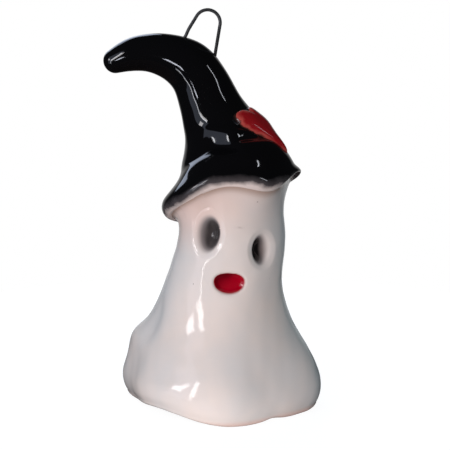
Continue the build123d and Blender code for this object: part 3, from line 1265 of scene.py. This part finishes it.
    def shape(self) -> None:
        """Shapes the whole hat as one skin, with the marks of the hand and the brim's sag."""
        crown, last = self.crown_rings()
        rows, places = smooth_rows(np.array(self.brim_rings() + crown), self.profile_rows)
        edge_row = int(round(places[self.edge_row]))
        self.brim_top = int(round(places[len(self.brim_rows) - 1]))
        rows = np.concatenate([rows, self.tip_rings(last)])
        steps = np.linalg.norm(np.diff(rows, axis=0), axis=2)
        run = np.concatenate([np.zeros((1, self.columns)), np.cumsum(steps, axis=0)])
        self.edge = run - run[edge_row]
        rows = self.flattened(rows + ring_normals(rows) * self.relief(rows)[..., None])
        hang = self.left_hang.over(self.angles, self.edge)
        for lift in self.right_lift, self.back_lift:
            hang -= lift.over(self.angles, self.edge)
        self.sag = self.front_sag.around(self.angles)
        hang += self.sag * (1 - ease(self.edge, *self.sag_fade))
        jut = self.right_jut.over(self.angles, self.edge)
        self.rows = rows + jut[..., None] * self.seat.right - hang[..., None] * self.seat.out

    def build(self, material: Material) -> None:
        """Makes the brim and the crown.

        Args:
            material: The hat's glaze.
        """
        # The band of crease brown by the head: partly thin glaze, partly painted shade
        thin = self.thin_glaze_and_shade_share * bell(self.edge - self.edge[:1] - self.thin_glaze_and_shade_run, self.thin_glaze_and_shade_reach)
        edge = self.edge + self.black_under.around(self.angles)
        pieces = (
            ("hat_brim_glazed", slice(0, self.brim_top + 1), ("hat_brim",)),
            ("hat_crown_glazed", slice(self.brim_top, None), ("hat_crown", "crown_slip")),
        )
        for name, part, nodes in pieces:
            piece = skin_mesh(name, self.rows[part], {Mark.EDGE: edge[part], Mark.THIN: thin[part]})
            piece.data.set_sharp_from_angle(angle=radians(self.sharp))
            hand_over(piece, material, Slot.BLACK, *nodes)


@dataclass
class NeckSlip:
    """The slip that lutes the brim to the head, smoothed by a finger into a soft fillet."""

    head: Array
    brim: Array
    head_drop: int = 22
    drop_share: float = 0.3
    row_height: float = 0.31
    brim_reach: float = 2.6
    front_reach: Touch = Touch(2.0, -75, 70)
    right_reach: Touch = Touch(3.0, 14, 38)
    brim_rows: int = 60
    sink: float = 0.25
    core: float = 1.2
    # The slip's top edge, in the crease under the brim, turns brown: partly thin glaze, partly painted shade
    crease_glaze_and_shade_share: float = 0.7
    crease_glaze_and_shade_span: Pair = (0.72, 1.0)
    samples: int = 14
    sharp: float = 60.0

    def head_line(self, drop: Array) -> Array:
        """The line on the head that lies some rows below its rim, read between the rows.

        Args:
            drop: Rows below the rim, for each column.

        Returns:
            The line's points.
        """
        row = len(self.head) - 1 - drop
        low = np.minimum(np.floor(row).astype(int), len(self.head) - 2)
        side = np.arange(self.head.shape[1])
        share = (row - low)[:, None]
        return self.head[low, side] * (1 - share) + self.head[low + 1, side] * share

    def build(self, body: GhostBody, hat: PointedHat, material: Material) -> None:
        """Makes the fillet.

        Args:
            body: The body that it stands on.
            hat: The hat that it carries.
            material: The glaze that runs over it.
        """
        run = hat.edge - hat.edge[:1]
        wanted = self.brim_reach + self.front_reach.around(hat.angles) + self.right_reach.around(hat.angles)
        upper = np.argmin(np.abs(run[: self.brim_rows] - wanted), axis=0)
        side = np.arange(hat.columns)
        top = self.brim[upper, side]
        lower = hat.sag / self.row_height
        corner = self.head_line(lower)
        foot = self.head_line(self.head_drop + self.drop_share * lower)
        share = np.linspace(0, 1, self.samples)[:, None, None]
        curve = foot * (1 - share) ** 2 + corner * 2 * share * (1 - share) + top * share**2
        inwards = unit(hat.seat.origin - corner)
        depths = (top, self.sink), (corner, self.core), (foot, self.sink)
        back = np.array([line + depth * inwards for line, depth in depths])
        rows = np.concatenate([curve, back])
        corners = rows.reshape(-1, 3)
        faces = ring_faces(len(rows), hat.columns).tolist()
        last = (len(rows) - 1) * hat.columns
        for here in range(hat.columns):
            following = (here + 1) % hat.columns
            faces.append([last + here, last + following, following, here])
        # Crease brown near the brim: partly thin glaze, partly painted shade
        crease = np.zeros(rows.shape[:2])
        crease[: self.samples] = self.crease_glaze_and_shade_share * ease(share[..., 0], *self.crease_glaze_and_shade_span)
        marks = {mark: np.zeros(len(corners)) for mark in WHITE_MARKS}
        marks[Mark.CREASE] = crease.ravel()
        marks[Mark.THIN] = body.warmth(rows).ravel()
        piece = make_mesh("neck_slip_fillet", corners, faces, marks)
        piece.data.set_sharp_from_angle(angle=radians(self.sharp))
        hand_over(piece, material, Slot.SLIP, "neck_slip")


@dataclass
class ClayHeart:
    """The small domed heart on the right of the hat, bent round the crown as it was pressed on."""

    seat: Point = (13.2, -1.5, 81.35)
    out: Point = (0.640, -0.410, 0.650)
    turn: float = 5.0
    width: float = 13.0
    right_press: float = 1.0
    length: float = 18.0
    skew: float = 3.6
    lobe_share: float = 0.54
    lobe_bend: float = 19.0
    tip_bend: float = 12.0
    stand: float = 1.4
    dome_flat: float = 4.5
    dome_round: float = 0.75
    wall_rows: tuple[Pair, ...] = ((1.6, 6.0), (2.0, 3.6), (1.0, 2.4), (0.45, 1.4), (0.15, 0.6))
    wall_share: float = 1.05
    wall_step: float = 0.09
    swell: Swell = Swell(0.12, 6, 31)
    sides: int = 180
    face_rows: int = 26
    face_middle: float = 0.03
    side_points: int = 30
    lobe_points: int = 60
    softenings: int = 3

    def outline(self) -> tuple[Array, Array]:
        """Draws the heart's edge: two round lobes and straight sides that meet in a tip.

        Returns:
            Directions from the middle in radians, and the edge's reach in each, in millimetres.
        """
        lobe = self.width * self.lobe_share / 2
        side, rise = self.width / 2 - lobe, self.length / 2 - lobe
        tip = -self.length / 2
        reach = np.array([side, rise - tip])
        straight = np.sqrt(reach @ reach - lobe**2)
        across = np.array([reach[1], -reach[0]])
        touch = np.array([0.0, tip]) + (reach * straight + across * lobe) * (straight / (reach @ reach))
        start = np.arctan2(touch[1] - rise, touch[0] - side)
        notch = pi - np.arccos(side / lobe)
        arc = np.linspace(start, notch, self.lobe_points)
        slope = np.linspace([0.0, tip], touch, self.side_points)[:-1]
        round_lobe = np.stack([side + lobe * np.cos(arc), rise + lobe * np.sin(arc)], axis=1)
        right = np.concatenate([slope, round_lobe])
        left = right[::-1][1:-1] * [-1, 1]
        points = np.concatenate([right, left])
        turn = np.unwrap(np.arctan2(points[:, 1], points[:, 0]))
        aims = -pi / 2 + np.arange(self.sides) * 2 * pi / self.sides
        size = np.interp(aims, turn, np.hypot(points[:, 0], points[:, 1]), period=2 * pi)
        soft = size.copy()
        for _ in range(self.softenings):
            soft = (np.roll(soft, 1) + 2 * soft + np.roll(soft, -1)) / 4
        return aims, soft

    def lay(self, spot: Place, right: Array, up: Array, rise: float) -> Array:
        """Bends points of the flat heart round the crown.

        Args:
            spot: The heart's middle.
            right: Distances to the right of its axis.
            up: Distances along its axis.
            rise: Height above the bent face's rim.

        Returns:
            The points.
        """
        share = np.clip(up / self.length + 0.5, 0, 1)
        bend = 1 / ((1 - share) / self.tip_bend + share / self.lobe_bend)
        turn = (right + self.skew * (0.5 - share)) / bend
        radius = bend + rise - self.right_press * ease(right, 0, self.width / 2)
        return spot.at(radius * np.sin(turn), up, radius * np.cos(turn) - bend)

    def build(self, material: Material) -> None:
        """Makes the heart.

        Args:
            material: Its glaze.
        """
        spot = Place.facing(np.array(self.seat), np.array(self.out)).spun(self.turn)
        aims, reach = self.outline()
        rows, shares = [], []
        for order, (grow, drop) in enumerate(self.wall_rows):
            rows.append(self.lay(spot, (reach + grow) * np.cos(aims), (reach + grow) * np.sin(aims), -drop))
            share = self.wall_share + self.wall_step * (len(self.wall_rows) - order)
            shares.append(np.full(self.sides, share))
        for share in np.linspace(1.0, self.face_middle, self.face_rows):
            size = reach * share
            rise = self.stand * (1 - share**self.dome_flat) ** self.dome_round
            rows.append(self.lay(spot, size * np.cos(aims), size * np.sin(aims), rise))
            shares.append(np.full(self.sides, share))
        rows = np.array(rows)
        rows = rows + self.swell.over(rows)[..., None] * spot.out
        piece = skin_mesh("heart_applique_glazed", rows, {Mark.HEART: np.array(shares)})
        hand_over(piece, material, Slot.HEART, "heart_applique")


@dataclass
class HangingWire:
    """The wire loop fired into the crown, made by nodes that sweep a round along its path."""

    foot: Point = (-10.1, 6.90, 98.84)
    loop_side: float = 5.9
    loop_rise: float = 13.4
    loop_radius: float = 3.7
    left_lean: float = 32.0
    right_lean: float = 9.6
    leg: float = 16.5
    wire_radius: float = 0.5
    kink: float = 0.35
    kink_height: float = 108.3
    kink_reach: float = 1.3
    sway: float = 0.25
    sway_pace: float = 0.55
    bow_points: int = 40
    leg_points: int = 26
    sides: int = 14

    def path(self) -> Array:
        """Draws the wire's centre line.

        Returns:
            Points from the end of its left leg over the bow to the end of its right leg.
        """
        middle = np.array(self.foot) + [self.loop_side, 0, self.loop_rise]
        left, right = radians(self.left_lean), radians(self.right_lean)
        turns = np.linspace(pi - left, -right, self.bow_points)
        bow = middle + self.loop_radius * np.stack([np.cos(turns), 0 * turns, np.sin(turns)], axis=1)
        down_left = np.array([-sin(left), 0, -cos(left)])
        down_right = np.array([-sin(right), 0, -cos(right)])
        shares = np.linspace(0, 1, self.leg_points)[1:, None]
        left_leg = bow[0] + shares[::-1] * self.leg * down_left
        right_leg = bow[-1] + shares * self.leg * down_right
        points = np.concatenate([left_leg, bow, right_leg])
        on_left = points[:, 0] < middle[0]
        points[:, 0] += self.kink * bell(points[:, 2] - self.kink_height, self.kink_reach) * on_left
        points[:, 1] += self.sway * np.sin(points[:, 2] * self.sway_pace)
        return points

    def sweep_nodes(self, material: Material) -> Tree:
        """Builds the tree that turns a path into round wire.

        Args:
            material: The wire's finish.

        Returns:
            The tree, with inputs for the wire's radius and sides.
        """
        tree = bpy.data.node_groups.new("round_wire", "GeometryNodeTree")
        tree.interface.new_socket("Path", in_out="INPUT", socket_type="NodeSocketGeometry")
        tree.interface.new_socket("Wire Radius", in_out="INPUT", socket_type="NodeSocketFloat")
        tree.interface.new_socket("Wire Sides", in_out="INPUT", socket_type="NodeSocketInt")
        tree.interface.new_socket("Wire", in_out="OUTPUT", socket_type="NodeSocketGeometry")
        given = add_node(tree, "NodeGroupInput")
        curve = add_node(tree, "GeometryNodeMeshToCurve", {"Mesh": given.outputs["Path"]})
        profile = add_node(
            tree,
            "GeometryNodeCurvePrimitiveCircle",
            {"Resolution": given.outputs["Wire Sides"], "Radius": given.outputs["Wire Radius"]},
        )
        tube = add_node(
            tree,
            "GeometryNodeCurveToMesh",
            {"Curve": curve.outputs[0], "Profile Curve": profile.outputs[0], "Fill Caps": True},
        )
        smooth = add_node(tree, "GeometryNodeSetShadeSmooth", {"Geometry": tube.outputs[0]})
        real = add_node(tree, "GeometryNodeRealizeInstances", {"Geometry": smooth.outputs[0]})
        finish = {"Geometry": real.outputs[0], "Material": material}
        dressed = add_node(tree, "GeometryNodeSetMaterial", finish)
        add_node(tree, "NodeGroupOutput", {"Wire": dressed.outputs[0]})
        return tree

    def build(self, material: Material) -> None:
        """Makes the wire.

        Args:
            material: Its finish.
        """
        points = self.path()
        mesh = bpy.data.meshes.new("wire_path")
        links = [(i, i + 1) for i in range(len(points) - 1)]
        mesh.from_pydata((points * MM).tolist(), links, [])
        route = bpy.data.objects.new("wire_path", mesh)
        bpy.context.scene.collection.objects.link(route)
        tree = self.sweep_nodes(material)
        modifier = route.modifiers.new("round_wire", "NODES")
        modifier.node_group = tree
        sockets = {item.name: item.identifier for item in tree.interface.items_tree}
        modifier[sockets["Wire Radius"]] = self.wire_radius * MM
        modifier[sockets["Wire Sides"]] = self.sides
        ready = route.evaluated_get(bpy.context.evaluated_depsgraph_get())
        swept = bpy.data.meshes.new_from_object(ready)
        route.modifiers.clear()
        bpy.data.objects.remove(route)
        swept.name = "hanging_wire_fired"
        piece = bpy.data.objects.new("hanging_wire_fired", swept)
        bpy.context.scene.collection.objects.link(piece)
        hand_over(piece, material, Slot.WIRE, "hanging_wire")


# The hat's own lights fall on these pieces alone
HAT_PIECES = ("hat_brim_glazed", "hat_crown_glazed", "heart_applique_glazed")


@dataclass(frozen=True)
class Panel:
    """A soft studio light: where it stands and looks, its size in millimetres, and its light."""

    name: str
    stand: Point
    aim: Point
    width: float
    height: float
    power: float
    colour: str
    mirrored: bool = True
    pieces: tuple[str, ...] = ()

    def build(self) -> None:
        """Makes the light, on all pieces or on those that it names."""
        lamp = bpy.data.lights.new(self.name, "AREA")
        lamp.shape = "RECTANGLE"
        lamp.size = self.width * MM
        lamp.size_y = self.height * MM
        lamp.energy = self.power
        lamp.color = linear(self.colour)[:3]
        panel = bpy.data.objects.new(self.name, lamp)
        panel.visible_glossy = self.mirrored
        panel.location = Vector(self.stand) * MM
        panel.rotation_euler = (Vector(self.aim) - Vector(self.stand)).to_track_quat("-Z", "Y").to_euler()
        bpy.context.scene.collection.objects.link(panel)
        if self.pieces:
            lit = bpy.data.collections.new(f"{self.name}_pieces")
            for piece in self.pieces:
                lit.objects.link(bpy.data.objects[piece])
            panel.light_linking.receiver_collection = lit


@dataclass
class Studio:
    """The pale floor, the soft lights, the white surroundings and the camera."""

    floor_radius: float = 160.0
    floor_sides: int = 96
    floor_colour: str = "#6A6E72"
    floor_mirrored: str = "#3A2E2A"
    floor_drop: float = 0.02
    floor_rough: float = 0.9
    shade_span: Pair = (50.0, 150.0)
    shade_light: Pair = (0.93, 1.0)
    bounce: float = 1.15
    bounce_middle: Point = (-6.0, -66.0, 0.0)
    bounce_span: Pair = (20.0, 75.0)
    fill_colour: str = "#B4E6F6"
    fill_light: float = 0.26
    behind_span: Pair = (0.8, 0.97)
    behind_light: Pair = (0.012, 0.5)
    camera_stand: Point = (0.0, -393.92, 129.46)
    camera_aim: Point = (0.885, -1.153, 53.46)
    camera_clip: float = 10.0
    sensor_width: float = 36.0
    half_frame: float = 225.0
    focus: float = 1355.9
    panels: tuple[Panel, ...] = (
        Panel("window_left_pane", (-526, -252, 243), (0, 0, 50), 140, 130, 0.47, "#FFFBFC"),
        Panel("window_right_pane", (-405, -425, 240), (0, 0, 55), 50, 230, 0.33, "#FFFBFC"),
        Panel("curtain", (-505, -306, 170), (0, 0, 70), 260, 560, 0.4, "#DCE6FF"),
        Panel("left_wall", (-640, -230, 260), (0, 0, 50), 560, 620, 0.05, "#EEF3FF", mirrored=False),
        Panel("curtain_gap", (-436, -404, 130), (0, 0, 80), 15, 500, 0.26, "#FFFCFA"),
        Panel("curtain_edge", (-428, -413, 130), (0, 0, 80), 16, 500, 0.26, "#E6EEFF", pieces=HAT_PIECES),
        Panel("curtain_fold", (-284, -428, 62), (-12, 0, 99), 30, 60, 0.09, "#EEF2FF", pieces=HAT_PIECES),
        Panel("right_strip", (485, -262, 400), (0, 0, 80), 26, 240, 0.24, "#F2F6FF", pieces=HAT_PIECES),
        Panel("back_fill", (-260, 560, 420), (0, 0, 60), 420, 420, 1.2, "#DCE8FF"),
        Panel("front_fill", (-60, -730, 190), (0, 0, 45), 480, 400, 2.95, "#FFE4DA", mirrored=False),
        Panel("back_soft", (-40, 640, 330), (0, 0, 40), 500, 420, 1.9, "#F4F4FA", mirrored=False),
        Panel("right_soft", (450, 480, 260), (0, 0, 50), 420, 400, 0.6, "#EAF4F8", mirrored=False),
    )

    def floor_material(self) -> Material:
        """Makes the floor's material.

        Returns:
            A floor that is white to the camera, shaded near the figure, and throws light up at its front.
        """
        # Painted board is dull and, to the camera, even: it keeps the figure's soft shadow and shows nothing
        # in itself. Its glow also throws painted bounce light, from no lamp, up at the figure's front
        material, tree, shader = new_material("matt_painted_floor_board")
        spot = add_node(tree, "ShaderNodeTexCoord").outputs["Object"]
        path = add_node(tree, "ShaderNodeLightPath").outputs
        away = add_node(tree, "ShaderNodeVectorMath", {0: spot}, operation="LENGTH").outputs["Value"]
        low, high = (edge * MM for edge in self.shade_span)
        near, far = self.shade_light
        shade = add_node(tree, "ShaderNodeMapRange", {0: away, 1: low, 2: high, 3: near, 4: far}).outputs[0]
        ahead = {0: spot, 1: tuple(size * MM for size in self.bounce_middle)}
        reach = add_node(tree, "ShaderNodeVectorMath", ahead, operation="DISTANCE").outputs["Value"]
        low, high = (edge * MM for edge in self.bounce_span)
        bright = add_node(tree, "ShaderNodeMapRange", {0: reach, 1: low, 2: high, 3: self.bounce, 4: 0.0})
        bounce = {0: path["Is Diffuse Ray"], 1: bright.outputs[0]}
        spread = add_node(tree, "ShaderNodeMath", bounce, operation="MULTIPLY").outputs[0]
        seen = add_node(tree, "ShaderNodeMath", {0: path["Is Camera Ray"], 1: spread}, operation="MAXIMUM")
        glow = add_node(tree, "ShaderNodeMath", {0: shade, 1: seen.outputs[0]}, operation="MULTIPLY")
        tones = {0: path["Is Glossy Ray"], 6: linear(self.floor_colour), 7: linear(self.floor_mirrored)}
        tone = add_node(tree, "ShaderNodeMix", tones, data_type="RGBA")
        tree.links.new(tone.outputs[2], shader.inputs["Base Color"])
        tree.links.new(glow.outputs[0], shader.inputs["Emission Strength"])
        shader.inputs["Emission Color"].default_value = WHITE
        shader.inputs["Roughness"].default_value = self.floor_rough
        shader.inputs["Specular IOR Level"].default_value = 0.0
        return material

    def world(self) -> None:
        """Makes the surroundings: white to the camera and behind the figure, dim and cool as fill."""
        world = bpy.data.worlds.new("white_surround")
        bpy.context.scene.world = world
        world.use_nodes = True
        tree = world.node_tree
        tree.nodes.clear()
        path = add_node(tree, "ShaderNodeLightPath").outputs
        spot = add_node(tree, "ShaderNodeTexCoord").outputs["Generated"]
        axes = add_node(tree, "ShaderNodeSeparateXYZ", {0: spot})
        low, high = self.behind_span
        dim, light = self.behind_light
        span = {0: axes.outputs["Y"], 1: low, 2: high, 3: dim, 4: light}
        behind = add_node(tree, "ShaderNodeMapRange", span)
        rays = {0: path["Is Glossy Ray"], 1: path["Is Transmission Ray"]}
        mirrored = add_node(tree, "ShaderNodeMath", rays, operation="MAXIMUM")
        fill = add_node(tree, "ShaderNodeBackground", {0: linear(self.fill_colour), 1: self.fill_light})
        mirror = add_node(tree, "ShaderNodeBackground", {0: WHITE, 1: behind.outputs[0]})
        white = add_node(tree, "ShaderNodeBackground", {0: WHITE, 1: 1.0})
        shares = {0: mirrored.outputs[0], 1: fill.outputs[0], 2: mirror.outputs[0]}
        gloss = add_node(tree, "ShaderNodeMixShader", shares)
        shares = {0: path["Is Camera Ray"], 1: gloss.outputs[0], 2: white.outputs[0]}
        seen = add_node(tree, "ShaderNodeMixShader", shares)
        add_node(tree, "ShaderNodeOutputWorld", {0: seen.outputs[0]})

    def camera(self) -> None:
        """Makes the camera at the photograph's viewing angle."""
        lens = bpy.data.cameras.new("camera")
        lens.sensor_width = self.sensor_width
        lens.angle = 2 * atan(self.half_frame / self.focus)
        lens.clip_start = self.camera_clip * MM
        view = bpy.data.objects.new("camera", lens)
        view.location = Vector(self.camera_stand) * MM
        aim = Vector(self.camera_aim) - Vector(self.camera_stand)
        view.rotation_euler = aim.to_track_quat("-Z", "Y").to_euler()
        bpy.context.scene.collection.objects.link(view)
        bpy.context.scene.camera = view

    def build(self) -> None:
        """Makes the floor, lights, surroundings and camera."""
        angles = np.arange(self.floor_sides) * 360 / self.floor_sides
        ground = Place.level((0, 0, -self.floor_drop))
        rim = ground.ring(angles, self.floor_radius)
        floor = make_mesh("floor", rim, [list(range(self.floor_sides))])
        floor.data.materials.append(self.floor_material())
        for panel in self.panels:
            panel.build()
        self.world()
        self.camera()


def main() -> None:
    """Builds and dresses every piece in order, then sets the stage."""
    logging.basicConfig(level=logging.INFO, format="%(name)s %(message)s")
    bpy.context.scene.view_settings.view_transform = "Standard"
    # One clear gloss lies over the white, the colours in the face and the slip, so they shine alike
    white_glaze = WhiteGlaze()
    white = white_glaze.build()
    eye = WhiteGlaze(name="iron_underglaze_under_clear_glaze").build()
    red = WhiteGlaze(name="bright_red_glaze").build()
    slip = WhiteGlaze(name="glazed_slip_bead").build()
    body = GhostBody()
    body.build(white, eye, red)
    hat = PointedHat(body.seat, body.head_radius)
    hat.shape()
    hat.build(BlackGlaze().build(white_glaze))
    NeckSlip(body.outer, hat.rows).build(body, hat, slip)
    ClayHeart().build(HeartGlaze().build())
    HangingWire().build(KilnWire().build())
    Studio().build()


if __name__ == "__main__":
    main()
